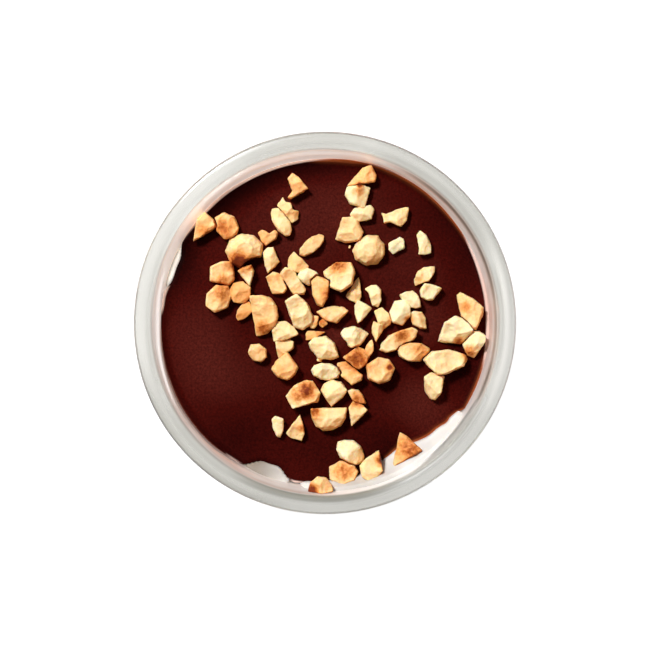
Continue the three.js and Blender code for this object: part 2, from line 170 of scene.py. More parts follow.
# x, y, half width in mm and strength of the lighter and darker areas of the ganache: partly its own tone,
# partly painted sheen and painted shade
GANACHE_TONES = [
    (-28, -3, 8, 0.22), (-26, -12, 6, 0.2), (-8, 24, 11, 0.2), (4, 25, 8, 0.2), (11, -21, 7, 0.1),
    (20, 15, 9, 0.2), (21, 0, 6, 0.3), (-16, -13, 8, 0.1), (3, -3, 3, 0.35), (-16, 1, 6, -0.14),
    (12, -10, 9, -0.2), (29, 24, 9, -0.3), (0, -28, 10, -0.12), (30, -10, 6, -0.35), (33, 14, 6, -0.25),
    (-20, -27, 8, -0.3), (22, -19, 7, 0.3), (14, -28, 6, -0.3), (20, -14, 5, 0.15),
]


# --- small tools ---------------------------------------------------------------------------------

def deselect():
    for obj in bpy.context.selected_objects:
        obj.select_set(False)


def use(obj):
    """Makes one object the selected, active one."""
    deselect()
    obj.select_set(True)
    bpy.context.view_layer.objects.active = obj


def mode(name):
    bpy.ops.object.mode_set(mode=name)


def add_modifier(obj, kind, **settings):
    """Adds a modifier with these settings and applies it."""
    use(obj)
    modifier = obj.modifiers.new(kind.title(), kind)
    for key, value in settings.items():
        setattr(modifier, key, value)
    bpy.ops.object.modifier_apply(modifier=modifier.name)


def smooth(obj, degrees=180):
    use(obj)
    if degrees >= 180:
        bpy.ops.object.shade_smooth()
    else:
        bpy.ops.object.shade_smooth_by_angle(angle=math.radians(degrees))


def curve_to(points, control, end, steps):
    """Adds a quadratic bend to an outline of (radius, height) points."""
    start = points[-1]
    for i in range(1, steps + 1):
        t = i / steps
        points.append(tuple(
            (1 - t) ** 2 * a + 2 * t * (1 - t) * b + t * t * c for a, b, c in zip(start, control, end)
        ))


def line_to(points, end, steps=1):
    start = points[-1]
    for i in range(1, steps + 1):
        points.append(tuple(a + (b - a) * i / steps for a, b in zip(start, end)))


def turned_piece(name, outline, steps):
    """Draws an outline of (radius, height) points in mm and spins it about the jar's axis."""
    deselect()
    bpy.ops.mesh.primitive_plane_add(size=MM)
    obj = bpy.context.object
    obj.name = obj.data.name = name
    mode("EDIT")
    bpy.ops.mesh.merge(type="CENTER")
    radius, height = outline[0]
    bpy.ops.transform.translate(value=(radius * MM, 0, height * MM))
    for (r0, z0), (r1, z1) in zip(outline, outline[1:]):
        step = ((r1 - r0) * MM, 0, (z1 - z0) * MM)
        bpy.ops.mesh.extrude_region_move(TRANSFORM_OT_translate={"value": step})
    bpy.ops.mesh.select_all(action="SELECT")
    bpy.ops.mesh.spin(steps=steps, angle=2 * math.pi, center=(0, 0, 0), axis=(0, 0, 1))
    bpy.ops.mesh.select_all(action="SELECT")
    bpy.ops.mesh.remove_doubles(threshold=0.002 * MM)
    bpy.ops.mesh.normals_make_consistent(inside=False)
    mode("OBJECT")
    return obj


def around(angle, centre):
    """How far apart two directions are, in degrees from 0 to 180."""
    return abs((angle - centre + 180) % 360 - 180)


def near(angle, centre, half, power=4):
    """1 in a direction, and falling to nothing at about its half width; a high power is squarer."""
    return math.exp(-((around(angle, centre) / half) ** power))


def smoothstep(low, high, value):
    t = min(1.0, max(0.0, (value - low) / (high - low)))
    return t * t * (3 - 2 * t)


def ripple(x, y, z, size, seed=0.0):
    """Smooth noise from -1 to 1 whose bumps are about this size in mm."""
    return noise.noise(Vector((x / size + seed, y / size - seed, z / size + 2 * seed)))


# --- jar -----------------------------------------------------------------------------------------

def inner_wall(height):
    """Radius of the jar's inner wall at a height, in mm."""
    mouth = JAR_HEIGHT - LIP_DEPTH
    if height > GANACHE_LEVEL:
        low, high = (GANACHE_LEVEL, WALL_RADIUS_AT_LEVEL), (mouth, MOUTH_RADIUS)
    else:
        low, high = (FLOOR_EDGE_HEIGHT, FLOOR_EDGE_RADIUS), (GANACHE_LEVEL, WALL_RADIUS_AT_LEVEL)
    return low[1] + (height - low[0]) * (high[1] - low[1]) / (high[0] - low[0])


def make_jar():
    rim = JAR_HEIGHT
    under = rim - LIP_HEIGHT
    neck = inner_wall(under) + WALL
    inner_edge, outer_edge = LIP_TOP
    crest = rim - LIP_CROWN
    outline = [(0, PUSH_UP)]
    line_to(outline, (RING_INNER * PUSH_UP_FLAT, PUSH_UP), 3)
    curve_to(outline, (RING_INNER * PUSH_UP_BEND, PUSH_UP), (RING_INNER, 0), 8)
    line_to(outline, (RING_OUTER, 0))
    curve_to(outline, (HEEL_RADIUS, 0), (HEEL_RADIUS, HEEL_HEIGHT), 10)
    line_to(outline, (WALL_RADIUS_AT_LEVEL + WALL, GANACHE_LEVEL), 8)
    line_to(outline, (neck - NECK_DRAFT, under - NECK_BEND), 2)
    curve_to(outline, (neck, under), (neck + NECK_BEND, under), 5)
    line_to(outline, (LIP_RADIUS - LIP_CORNER, under), 3)
    curve_to(outline, (LIP_RADIUS, under), (LIP_RADIUS, under + LIP_CORNER), 6)
    line_to(outline, (LIP_RADIUS, rim - LIP_DEPTH), 4)
    curve_to(outline, (LIP_RADIUS, crest), (outer_edge, crest), 8)
    curve_to(outline, ((inner_edge + outer_edge) / 2, rim + LIP_CROWN), (inner_edge, crest), 8)
    curve_to(outline, (MOUTH_RADIUS, crest), (MOUTH_RADIUS, rim - LIP_DEPTH), 8)
    line_to(outline, (WALL_RADIUS_AT_LEVEL, GANACHE_LEVEL), 24)
    line_to(outline, (FLOOR_EDGE_RADIUS, FLOOR_EDGE_HEIGHT), 8)
    turn = FLOOR_EDGE_RADIUS - FLOOR_TURN
    curve_to(outline, (turn, FLOOR_HEIGHT), (FLOOR_RADIUS, FLOOR_HEIGHT), 8)
    line_to(outline, (0, FLOOR_HEIGHT), 4)
    jar = turned_piece("glass_jar", outline, 192)
    mark_jar(jar)
    smooth(jar, degrees=40)
    return jar


def strongest(places, angle):
    """The strongest of some places, each a direction, a half width and a strength."""
    return max(strength * near(angle, centre, half) for centre, half, strength in places)


def lip_marks(angle, radius, z):
    """How much painted shade darkens the lip, and how much painted light glows in it."""
    # painted shade: a dark line by the inner edge, a broad darkening over the top, and fine streaks
    line = strongest(LINE_SHADES, angle) * smoothstep(*LINE_BAND, radius)
    line *= smoothstep(JAR_HEIGHT - LINE_DEPTHS[0], JAR_HEIGHT - LINE_DEPTHS[1], z)
    shade_grey = strongest(LIP_SHADES, angle) * smoothstep(*GREY_BAND, radius)
    shade_grey *= 1 + GREY_DEEPENS * smoothstep(*DEEPER_BAND, radius)
    turn = math.radians(angle)
    streaked_shade = SHADE_STREAKS * ripple(7 * math.cos(turn), 7 * math.sin(turn), 2.4 * radius, 2.4, 6.0)
    # painted light: a pale glow on one side of the lip's top, and along its outer corner
    pale = PALE_LIGHT * smoothstep(*PALE_BAND, radius) * smoothstep(*PALE_END, radius)
    pale *= near(angle, *PALE_SIDE)
    corner = CORNER_LIGHT + CORNER_SIDE_LIGHT * near(angle, *CORNER_SIDE)
    corner *= smoothstep(*CORNER_BAND, radius)
    corner *= smoothstep(JAR_HEIGHT - CORNER_DEPTHS[0], JAR_HEIGHT - CORNER_DEPTHS[1], z)
    return min(1.0, max(0.0, shade_grey + streaked_shade + line)), pale + corner


def film_marks(x, y, z, angle):
    """How thick and how brown the film on the inner wall is, its painted light, and how much painted shade
    darkens it.
    """
    above = z - GANACHE_LEVEL
    streaks = 0.5 + 0.5 * ripple(x, y, z * 7, 14.0, 8.0)
    fine = 0.5 + 0.5 * ripple(x, y, z * 3, 3.0, 4.0)
    # painted shade: a dark line round the wall, which also browns the film, and the dark line up by the lip
    seam = strongest(SEAM_SHADES, angle) * math.exp(-(((above - SEAM_HEIGHT) / SEAM_HALF) ** 2))
    dip_at, dip_half, dip = LINE_DIP
    line_start = LINE_HEIGHT - dip * near(angle, dip_at, dip_half)
    line = strongest(LINE_SHADES, angle) * smoothstep(line_start, line_start + LINE_SOFTNESS, above)
    thick = (FILM_THICK + FILM_STREAKS * streaks) * smoothstep(*FILM_END, above) * (1 - 0.9 * line)
    arc_height = ARC_HEIGHT + sum(rise * near(angle, at, half, 2) for at, half, rise in ARC_BENDS)
    wide_at, wide_half, wider = ARC_WIDENS
    arc_half = ARC_HALF + wider * near(angle, wide_at, wide_half, 2)
    # painted highlight: the bright arc whitens the film and glows
    arc = near(angle, *ARC, 6) * math.exp(-(((above - arc_height) / arc_half) ** 2))
    brown = sum(
        strength * near(angle, at, half) * smoothstep(height, 0.0, above)
        for at, half, strength, height in FILM_STAINS
    )
    white = smoothstep(*ARC_WHITE, angle % 360)
    clean = CLEANER * near(angle, *CLEAN_SIDE)
    uneven = 0.4 * (streaks - 0.5) + 0.25 * (fine - 0.5)
    colour = (FILM_COLOUR + uneven) * (1 - clean) + 0.5 * seam + brown
    film = min(1.0, max(thick, ARC_THICK * arc, 1.1 * brown))
    stained = min(1.0, max(0.0, colour * (1 - (0.05 + 0.85 * white) * arc)))
    # painted light glowing in the film, strongest on one side, and low down
    facing = 0.5 + 0.5 * math.cos(math.radians(angle - LIGHT_FROM))
    through = LIGHT_THROUGH * film * facing ** 1.5
    through += LOW_LIGHT_STRENGTH * near(angle, *LOW_LIGHT) * smoothstep(LOW_LIGHT_HEIGHT, 0.0, above)
    arc_light = (0.4 + 0.6 * white + 0.3 * near(angle, *ARC_END, 2)) * arc
    return film, stained, max(through, arc_light), max(line, 0.95 * seam)


def mark_jar(jar):
    """Marks the film above the contents, the painted light that glows in the jar, and the painted shade that
    darkens the glass.
    """
    names = ("smear", "stain", "painted_glow", "shade")
    for name in names:
        jar.data.attributes.new(name, "FLOAT", "POINT")
    smear, stain, painted_glow, shade = (jar.data.attributes[name] for name in names)
    for i, corner in enumerate(jar.data.vertices):
        x, y, z = (value / MM for value in corner.co)
        radius = math.hypot(x, y)
        angle = math.degrees(math.atan2(y, x))
        if z < HEEL_HEIGHT:
            painted_glow.data[i].value = HEEL_LIGHT * smoothstep(HEEL_HEIGHT, HEEL_HEIGHT / 2, z)
        if z > JAR_HEIGHT - LIP_HEIGHT:
            shade.data[i].value, painted_glow.data[i].value = lip_marks(angle, radius, z)
        if z >= GANACHE_LEVEL - 0.5 and radius <= inner_wall(z) + 0.3:
            film, stained, light, shade_grey = film_marks(x, y, z, angle)
            smear.data[i].value = film
            stain.data[i].value = stained
            painted_glow.data[i].value = light
            shade.data[i].value = shade_grey


# --- contents ------------------------------------------------------------------------------------

def bite(angle):
    """(depth, climb) of the cream's gap beside the ganache in a direction."""
    depth = climb = 0.0
    for centre, deep, spread, rise in BITES:
        share = near(angle, centre, spread)
        depth += deep * share
        climb += rise * share
    return depth, climb


def creep(angle):
    """How far the ganache creeps up the glass in a direction."""
    total = 0.12
    for centre, spread, height in CREEPS:
        total += height * near(angle, centre, spread, 2)
    return total


def edge_radius(angle):
    """Outer radius of the ganache's surface, with a slightly uneven line where it ends on cream."""
    depth = bite(angle)[0]
    turn = math.radians(angle)
    uneven = ripple(40 * math.cos(turn), 40 * math.sin(turn), 0, 3.0, 5.0)
    return WALL_RADIUS_AT_LEVEL - depth + EDGE_WAVER * uneven * smoothstep(0.1, 0.8, depth)


def ganache_surface(angle, radius):
    """Height of the ganache in a direction and at a radius."""
    share = radius / WALL_RADIUS_AT_LEVEL
    turn = math.radians(angle)
    waves = math.sin(3 * turn + 5 * share) + math.sin(2 * turn - 7 * share)
    return GANACHE_LEVEL + GANACHE_WAVES * waves * share * (1 - share * share)


def cream_surface(angle, radius):
    """Height of the bare cream in a direction and at a radius: it banks up towards the glass."""
    rise = min(1.0, max(0.0, (radius - CREAM_BANK_START) / (WALL_RADIUS_AT_LEVEL - CREAM_BANK_START)))
    climb = bite(angle)[1]
    return GANACHE_LEVEL + CREAM_PROUD * min(1, climb) * min(1, 3 * rise) + climb * rise ** 3


def reshape(obj, move):
    """Moves each corner: move gets the direction in degrees, radius and height in mm."""
    for corner in obj.data.vertices:
        x, y, z = (value / MM for value in corner.co)
        radius = math.hypot(x, y)
        angle = math.degrees(math.atan2(y, x))
        new_radius, new_height = move(angle, radius, z)
        scale = new_radius / radius if radius > 1e-6 else 0
        corner.co = (x * scale * MM, y * scale * MM, new_height * MM)
    obj.data.update()


def weld(obj):
    """Merges corners that have been moved to the same place."""
    use(obj)
    mode("EDIT")
    bpy.ops.mesh.select_all(action="SELECT")
    bpy.ops.mesh.remove_doubles(threshold=0.01 * MM)
    mode("OBJECT")


def make_cream():
    edge = WALL_RADIUS_AT_LEVEL + CREAM_INTO_WALL
    inside = FLOOR_HEIGHT - CREAM_INTO_WALL
    outline = [(0, inside)]
    line_to(outline, (FLOOR_RADIUS, inside), 4)
    low_edge = FLOOR_EDGE_RADIUS + CREAM_INTO_WALL
    curve_to(outline, (low_edge - FLOOR_TURN, inside), (low_edge, FLOOR_EDGE_HEIGHT), 8)
    line_to(outline, (edge, GANACHE_LEVEL - 0.5), 16)
    line_to(outline, (edge, GANACHE_LEVEL))
    line_to(outline, (CREAM_BANK_START, GANACHE_LEVEL), 60)
    line_to(outline, (0, GANACHE_LEVEL), 6)
    cream = turned_piece("semifreddo_cream", outline, 300)

    def settle(angle, radius, height):
        depth = bite(angle)[0]
        turn = math.radians(angle)
        seam = SEAM_WAVE * ripple(30 * math.cos(turn), 30 * math.sin(turn), 0, 9.0, 1.5)
        hidden = GANACHE_BOTTOM + seam
        shown = smoothstep(*CREAM_SHOWS, depth)
        if height < GANACHE_LEVEL - 0.01:
            top = hidden + (GANACHE_LEVEL - hidden) * shown
            return (radius, height) if height < top else (inner_wall(top) + CREAM_INTO_WALL, top)
        surface = cream_surface(angle, radius)
        surface += CREAM_BUMPS * ripple(radius * math.cos(turn), radius * math.sin(turn), 0, 2.6, 3.0)
        beside = smoothstep(edge_radius(angle) - CREAM_STEP, edge_radius(angle), radius)
        top = hidden + (surface - hidden) * shown * beside
        if radius > edge - 0.01:
            return inner_wall(top) + CREAM_INTO_WALL, top
        return min(radius, inner_wall(top) + CREAM_INTO_WALL), top

    reshape(cream, settle)
    weld(cream)
    mark_cream(cream)
    smooth(cream, degrees=89)
    return cream


def mark_cream(cream):
    """Marks the cream behind the glass, painted shade on bare cream by the glass, and painted light on its
    crescent.
    """
    names = ("dim", "lit", "behind_glass")
    for name in names:
        cream.data.attributes.new(name, "FLOAT", "POINT")
    dim, lit, behind_glass = (cream.data.attributes[name] for name in names)
    for i, corner in enumerate(cream.data.vertices):
        x, y, z = (value / MM for value in corner.co)
        angle = math.degrees(math.atan2(y, x))
        radius = math.hypot(x, y)
        behind = smoothstep(GANACHE_LEVEL - 1, GANACHE_LEVEL - 3, z)
        behind_glass.data[i].value = behind
        outer = smoothstep(28, 32, radius) * (1 - behind)
        at_wall = smoothstep(35.9, 36.3, radius)
        crescent = near(angle, *CRESCENT) * outer
        # painted shade: bare cream darkened in places, and where the crescent meets the wall
        painted_dimming = sum(strength * near(angle, at, half, 2) for at, half, strength in CREAM_SHADES)
        dim.data[i].value = painted_dimming * outer + 0.35 * crescent * at_wall
        # painted light on the crescent
        lit.data[i].value = crescent * (1 - at_wall)


def make_ganache():
    edge = WALL_RADIUS_AT_LEVEL
    low = GANACHE_BOTTOM - GANACHE_UNDER
    outline = [(0, low)]
    line_to(outline, (edge * 0.7, low), 3)
    line_to(outline, (edge, low), 2)
    line_to(outline, (edge, GANACHE_LEVEL), 8)
    line_to(outline, (edge - CLOSE_RINGS, GANACHE_LEVEL), 16)
    line_to(outline, (0, GANACHE_LEVEL), 48)
    ganache = turned_piece("ganache_layer", outline, 288)

    def settle(angle, radius, height):
        depth = bite(angle)[0]
        rim = edge_radius(angle)
        held = smoothstep(0.5, 0.1, depth) if depth < 0.5 else 0.0
        if height < GANACHE_LEVEL - 0.01:
            if radius < edge - 0.01:
                return radius * min(1, rim / edge), height
            return rim - (edge - inner_wall(height)) + GANACHE_INTO_WALL * held, height
        inward = edge - radius
        new_radius = radius - (edge - rim) * max(0.0, 1 - inward / BLEND_WIDTH)
        surface = ganache_surface(angle, new_radius)
        lift = creep(angle) * held * max(0.0, 1 - inward / CREEP_WIDTH) ** 3
        drop = min(EDGE_DROP, 0.12 * depth) * (1 - held) * max(0.0, 1 - inward / EDGE_ROUND) ** 2
        if radius > edge - 0.01:
            new_radius += GANACHE_INTO_WALL * held
        out = (inner_wall(GANACHE_LEVEL + lift) - WALL_RADIUS_AT_LEVEL) * held
        return new_radius + out * max(0.0, 1 - inward / 1.0), surface + lift - drop

    reshape(ganache, settle)
    mark_ganache(ganache)
    smooth(ganache)
    return ganache


def mark_ganache(ganache):
    """Writes how thin the ganache is at its edge, its tone (0.5, darker or lighter, with painted shade and
    painted sheen) and smeared cream.
    """
    names = ("thin", "tone", "milky")
    for name in names:
        ganache.data.attributes.new(name, "FLOAT", "POINT")
    thin, tone, milky = (ganache.data.attributes[name] for name in names)
    for i, corner in enumerate(ganache.data.vertices):
        x, y, z = (value / MM for value in corner.co)
        radius = math.hypot(x, y)
        angle = math.degrees(math.atan2(y, x))
        inward = edge_radius(angle) - radius + (z - GANACHE_LEVEL) * 0.2
        under_cream = 0.12 * smoothstep(0.1, 0.5, bite(angle)[0])
        smeared = strongest(MILKY_EDGES, angle) * smoothstep(0.9, 0.3, bite(angle)[0])
        on_top = smoothstep(GANACHE_LEVEL - 0.6, GANACHE_LEVEL - 0.1, z)
        band = smoothstep(smeared + 0.12, smeared - 0.12, inward)
        milky.data[i].value = on_top * smoothstep(0.1, 0.4, smeared) * band
        if z > GANACHE_LEVEL - 0.8:
            bright = strongest(GLOWS, angle)
            thin.data[i].value = bright * smoothstep(0.4 + 1.5 * bright ** 3, 0.0, inward - under_cream)
        shift = 0.0
        for sx, sy, half, strength in GANACHE_TONES:
            shift += strength * math.exp(-((x - sx) ** 2 + (y - sy) ** 2) / half ** 2)
        # painted shade: darker on one side and along the edge by the glass
        shade = 0.5 * near(angle, *SHADED_SIDE) * smoothstep(7.0, 1.0, inward)
        shade += 0.12 * smoothstep(1.8, 0.4, inward)
        tone.data[i].value = 0.5 + shift - shade


# --- hazelnuts -----------------------------------------------------------------------------------

# Outlines of a chopped piece, one long and one wide; a negative width mirrors it
OUTLINES = {
    "wedge": [
        (0.5, -0.06), (0.12, 0.22), (-0.32, 0.5), (-0.44, 0.2), (-0.5, -0.4), (-0.2, -0.5), (0.1, -0.34),
    ],
    "slab": [(0.5, 0.14), (0.38, 0.46), (-0.3, 0.5), (-0.5, 0.12), (-0.42, -0.44), (0.3, -0.5)],
    "loaf": [
        (0.5, -0.2), (0.42, 0.34), (0.26, 0.5), (-0.14, 0.46), (-0.5, 0.16), (-0.46, -0.46), (0.34, -0.5),
    ],
    "chunk": [
        (0.5, -0.08), (0.36, 0.36), (-0.06, 0.5), (-0.44, 0.3), (-0.5, -0.18), (-0.1, -0.5), (0.32, -0.42),
    ],
    "kite": [
        (0.5, -0.04), (0.12, 0.36), (-0.14, 0.5), (-0.42, 0.26), (-0.5, -0.1), (-0.3, -0.4), (-0.04, -0.5),
    ],
    "leaf": [
        (0.5, 0.0), (0.16, 0.42), (-0.14, 0.5), (-0.4, 0.2), (-0.5, -0.14), (0.0, -0.5), (0.34, -0.26),
    ],
    "block": [
        (0.5, 0.28), (0.08, 0.4), (-0.36, 0.5), (-0.5, 0.14), (-0.44, -0.42), (-0.1, -0.5), (0.3, -0.32),
    ],
    "bullet": [
        (0.5, 0.18), (0.34, 0.5), (-0.14, 0.46), (-0.44, 0.22), (-0.5, -0.06), (-0.22, -0.38), (0.34, -0.5),
    ],
    "quarter": [
        (0.5, -0.4), (0.44, 0.0), (0.2, 0.38), (-0.14, 0.5), (-0.42, 0.16), (-0.5, -0.38), (0.0, -0.5),
    ],
    "tooth": [
        (0.5, -0.05), (0.0, 0.5), (-0.25, 0.25), (-0.5, 0.02), (-0.45, -0.3), (-0.22, -0.5), (0.25, -0.3),
    ],
    "thumb": [
        (0.5, -0.16), (0.28, 0.05), (0.0, 0.32), (-0.2, 0.5), (-0.44, 0.22), (-0.5, -0.1), (-0.43, -0.4),
        (0.1, -0.5), (0.43, -0.37),
    ],
    "bell": [
        (0.5, -0.2), (0.48, 0.12), (0.31, 0.5), (0.12, 0.26), (-0.4, 0.07), (-0.5, -0.26), (-0.23, -0.5),
        (0.27, -0.48),
    ],
    "horn": [
        (0.5, 0.3), (0.26, 0.48), (-0.21, 0.26), (-0.43, 0.5), (-0.5, 0.33), (-0.11, -0.5), (0.31, -0.04),
    ],
    "brush": [
        (0.5, 0.5), (0.46, -0.2), (0.25, -0.5), (-0.17, -0.26), (-0.38, -0.36), (-0.5, 0.24), (-0.32, 0.14),
        (0.16, 0.45),
    ],
    "bow": [
        (0.5, 0.3), (0.3, 0.5), (0.04, 0.28), (-0.33, 0.5), (-0.5, 0.28), (-0.4, -0.2), (-0.15, -0.5),
        (0.36, -0.1),
    ],
    "ragged": [
        (0.5, 0.0), (0.3, 0.5), (0.12, 0.3), (-0.12, 0.5), (-0.3, 0.32), (-0.5, 0.5), (-0.46, -0.3),
        (0.4, -0.5),
    ],
}
# Share of the height and of the outline for each ring of corners, from the bottom up
CHOPPED = [(0.0, 0.86), (0.45, 1.0), (0.88, 0.97), (1.0, 0.88)]
UNEVEN = 0.06  # how far a corner strays from its outline, as a share of the piece
TOP_TILT = (4, 14)  # slope of a top face in degrees, from and to
RIDGE_SLOPE = 0.4
RIDGED = 0.65  # share of the chips that have a ridge

# Smaller pieces: kind, x, y, length, width, turn in degrees, height, how far raised, and tone
# from 0 pale to 1 golden and beyond
CHIPS = [
    ("horn", -6.0, 30.4, 6.0, 4.7, 90, 3.3, 0.0, 1.2),
    ("block", 7.2, 27.9, 5.3, 5.7, -90, 3.3, 0.0, 0.0),
    ("slab", 8.4, 24.2, 5.8, 3.4, 12, 2.9, 0.0, -0.1),
    ("brush", 15.4, 23.5, 6.2, 4.3, 0, 3.1, 0.0, 0.5),
    ("slab", 15.9, 17.1, 4.1, 2.8, 33, 2.4, 0.0, -1.0),
    ("bell", 21.5, 17.6, 5.5, -3.6, -62, 2.9, 0.0, -0.2),
    ("leaf", 22.1, 10.6, 6.2, 3.4, 40, 2.6, 0.0, 0.4),
    ("kite", 23.5, 7.0, 5.3, 4.2, 20, 3.1, 0.0, -0.2),
    ("chunk", 16.8, 2.4, 6.0, 4.8, 80, 3.8, 0.2, -0.4),
    ("leaf", 19.1, 5.1, 5.6, 3.9, -35, 3.1, 0.6, 0.0),
    ("leaf", 20.7, 0.7, 5.2, 3.5, -48, 2.9, 0.0, 0.3),
    ("loaf", 12.9, 1.1, 4.8, 3.1, -72, 2.6, 0.0, 0.7),
    ("bell", 10.7, 6.0, 5.0, 3.8, 90, 3.1, 0.0, 0.1),
    ("wedge", 8.1, 2.1, 5.4, 4.0, -105, 3.1, 0.0, 0.0),
    ("wedge", 11.7, -2.1, 4.8, 3.0, -95, 2.6, 0.0, 0.7),
    ("kite", 6.9, -7.9, 5.6, 5.2, 180, 3.3, 0.0, 0.5),
    ("leaf", 9.8, -5.9, 4.8, 1.9, 76, 2.4, 0.4, 0.9),
    ("wedge", -2.1, -2.4, 5.1, 2.3, 14, 2.2, 0.0, 1.5),
    ("bullet", -2.6, 0.2, 3.2, 2.5, 92, 2.4, 0.0, 1.0),
    ("slab", -0.4, 0.0, 2.0, 1.7, 40, 1.8, 0.2, 0.5),
    ("wedge", 6.7, 7.5, 6.0, 3.4, 78, 2.6, 0.0, 0.6),
    ("thumb", -5.9, 13.4, 4.9, 4.8, 0, 3.1, 0.0, 1.0),
    ("ragged", -8.1, 24.9, 5.9, 3.0, -42, 2.6, 0.0, 0.7),
    ("bow", -12.5, 18.9, 4.6, 3.7, 0, 2.6, 0.0, 1.4),
    ("tooth", -12.0, 13.9, 5.9, 4.1, -100, 2.9, 0.0, 0.3),
    ("loaf", -22.7, 11.2, 5.7, 5.3, -8, 3.3, 0.0, 0.7),
    ("wedge", -17.3, 10.4, 4.7, -3.7, -80, 2.9, 0.0, -0.7),
    ("chunk", -18.8, 6.8, 5.3, 5.0, -20, 3.3, 0.0, 1.5),
    ("bullet", -18.0, 2.4, 5.0, 3.0, 52, 2.6, 0.0, 1.5),
    ("slab", -10.7, 8.7, 5.4, 3.5, -65, 2.9, 0.0, 0.9),
    ("quarter", -9.2, -1.7, 6.0, 4.6, 18, 3.6, 0.3, 0.4),
    ("wedge", -9.6, -5.6, 5.0, -4.8, -112, 2.9, 0.0, 0.7),
    ("chunk", -14.9, -6.6, 4.5, 3.9, -20, 2.9, 0.0, 0.9),
    ("wedge", 6.9, -20.4, 5.6, 4.1, -108, 3.1, 0.0, 0.4),
    ("leaf", 7.2, -16.4, 5.1, 2.7, -38, 2.4, 0.0, 0.2),
    ("bullet", -10.3, -23.0, 5.0, 2.7, 96, 2.4, 0.0, 0.0),
    ("wedge", -6.3, -23.1, 5.8, 4.3, 80, 2.9, 0.0, 0.4),
    ("quarter", -0.9, -35.7, 5.6, 3.9, 0, 3.6, 0.7, 0.9),
    ("slab", 5.5, 16.9, 0.9, 0.5, 70, 0.6, 0.0, 0.2),
    ("slab", -1.2, -8.2, 1.3, 0.9, 0, 1.0, 0.0, 0.2),
]

# Tone of each piece that has a CAD node, in their order
NUT_TONES = [
    0.5, 0.5, 0.9, 0.6, 1.2, 0.1, 1.3, 0.7, 0.3, 0.2, 0.4, 0.6,
    -0.3, 0.7, 0.3, 1.0, 0.2, -0.4, -0.1, -0.3, -0.4, 1.0, 0.3, 0.7,
    0.8, 0.7, 0.4, -0.3, -0.6, 0.8, 1.3, 0.5, 0.9, 0.4, 0.2, 0.5,
]

# Roasted places: x, y, half width in mm, strength from 0 pale to 1 dark brown
ROASTS = [
    (-18.7, 13.2, 1.9, 1.0), (-16.8, 12.6, 1.8, 0.55), (-4.0, -14.8, 2.0, 0.8), (-5.7, -15.6, 2.0, 0.48),
    (7.1, -7.9, 2.3, 0.62), (2.9, 12.9, 1.9, 0.55), (17.0, -2.6, 1.8, 0.5), (7.2, 28.9, 1.0, 0.3),
    (7.6, 30.1, 0.6, 0.9),
    (29.3, -4.1, 0.8, 0.7), (31.6, -6.4, 1.6, 0.5), (7.3, -17.0, 1.7, 0.5), (-2.3, -19.5, 1.1, 0.6),
    (3.8, -32.4, 1.9, 0.4), (12.4, -29.8, 1.3, 0.65), (18.5, -27.5, 3.0, 0.5), (-3.0, -36.5, 1.1, 1.0),
    (-22.5, 7.0, 2.0, 0.3), (-22.3, 20.5, 1.6, 0.35), (-26.5, 19.8, 1.6, 0.3), (18.2, 0.6, 0.9, 0.6),
    (14.1, -9.7, 0.6, 0.95), (-5.2, -23.0, 0.9, 0.4), (0.4, 6.4, 1.2, 0.35), (-0.6, 0.2, 0.9, 0.4),
    (20.5, -5.5, 1.3, 0.25), (-13.5, -1.0, 1.4, 0.4), (-22.5, 9.5, 1.1, 0.4), (31.0, 3.5, 1.2, 0.3),
]
ROAST_SPREAD = 1.012  # how much further from the axis the roasted places lie than they are listed
LOWER = 0.4  # how far the pieces sink from their CAD place, so that they lie in the ganache
# Finishing a piece, in mm: its bevel, its remeshing, and the size and depth of what roughens its faces
NUT_BEVEL = 0.12
SHARP_EDGE = 24  # degrees between faces from which their edge is bevelled
VOXEL = 0.17
SCOOPS = (3.2, 1.1)
FLAWS = (1.5, 0.32)
CRUMBS = (0.6, 0.16)


def support_height(x, y):
    """Height of the ganache or bare cream under a point, in mm."""
    radius = math.hypot(x, y)
    angle = math.degrees(math.atan2(y, x))
    if radius > edge_radius(angle) - 0.6:
        return max(cream_surface(angle, radius), GANACHE_LEVEL)
    return ganache_surface(angle, radius)


def chipping(name, kind, size, detail=None):
    """A pattern of a size in mm for roughening a nut's faces."""
    texture = bpy.data.textures.new(name, kind)
    texture.noise_scale = size * MM
    if detail:
        texture.noise_depth = detail
    return texture


def finish_nut(obj):
    """Breaks a chopped piece's sharp edges and roughens its faces."""
    sharp = math.radians(SHARP_EDGE)
    add_modifier(obj, "BEVEL", width=NUT_BEVEL * MM, segments=2, limit_method="ANGLE", angle_limit=sharp)
    add_modifier(obj, "REMESH", mode="VOXEL", voxel_size=VOXEL * MM)
    scoops = chipping("nut scoops", "VORONOI", SCOOPS[0])
    scoops.distance_metric = "DISTANCE_SQUARED"
    scoop = {"texture": scoops, "strength": SCOOPS[1] * MM, "mid_level": 0.3, "direction": "Z"}
    add_modifier(obj, "DISPLACE", texture_coords="LOCAL", **scoop)
    add_modifier(obj, "SMOOTH", factor=0.4, iterations=1)
    for name, (size, strength) in (("nut flaws", FLAWS), ("nut crumbs", CRUMBS)):
        texture = chipping(name, "CLOUDS", size, detail=2)
        add_modifier(
            obj, "DISPLACE", texture=texture, strength=strength * MM, mid_level=0.5, texture_coords="LOCAL"
        )
    smooth(obj)


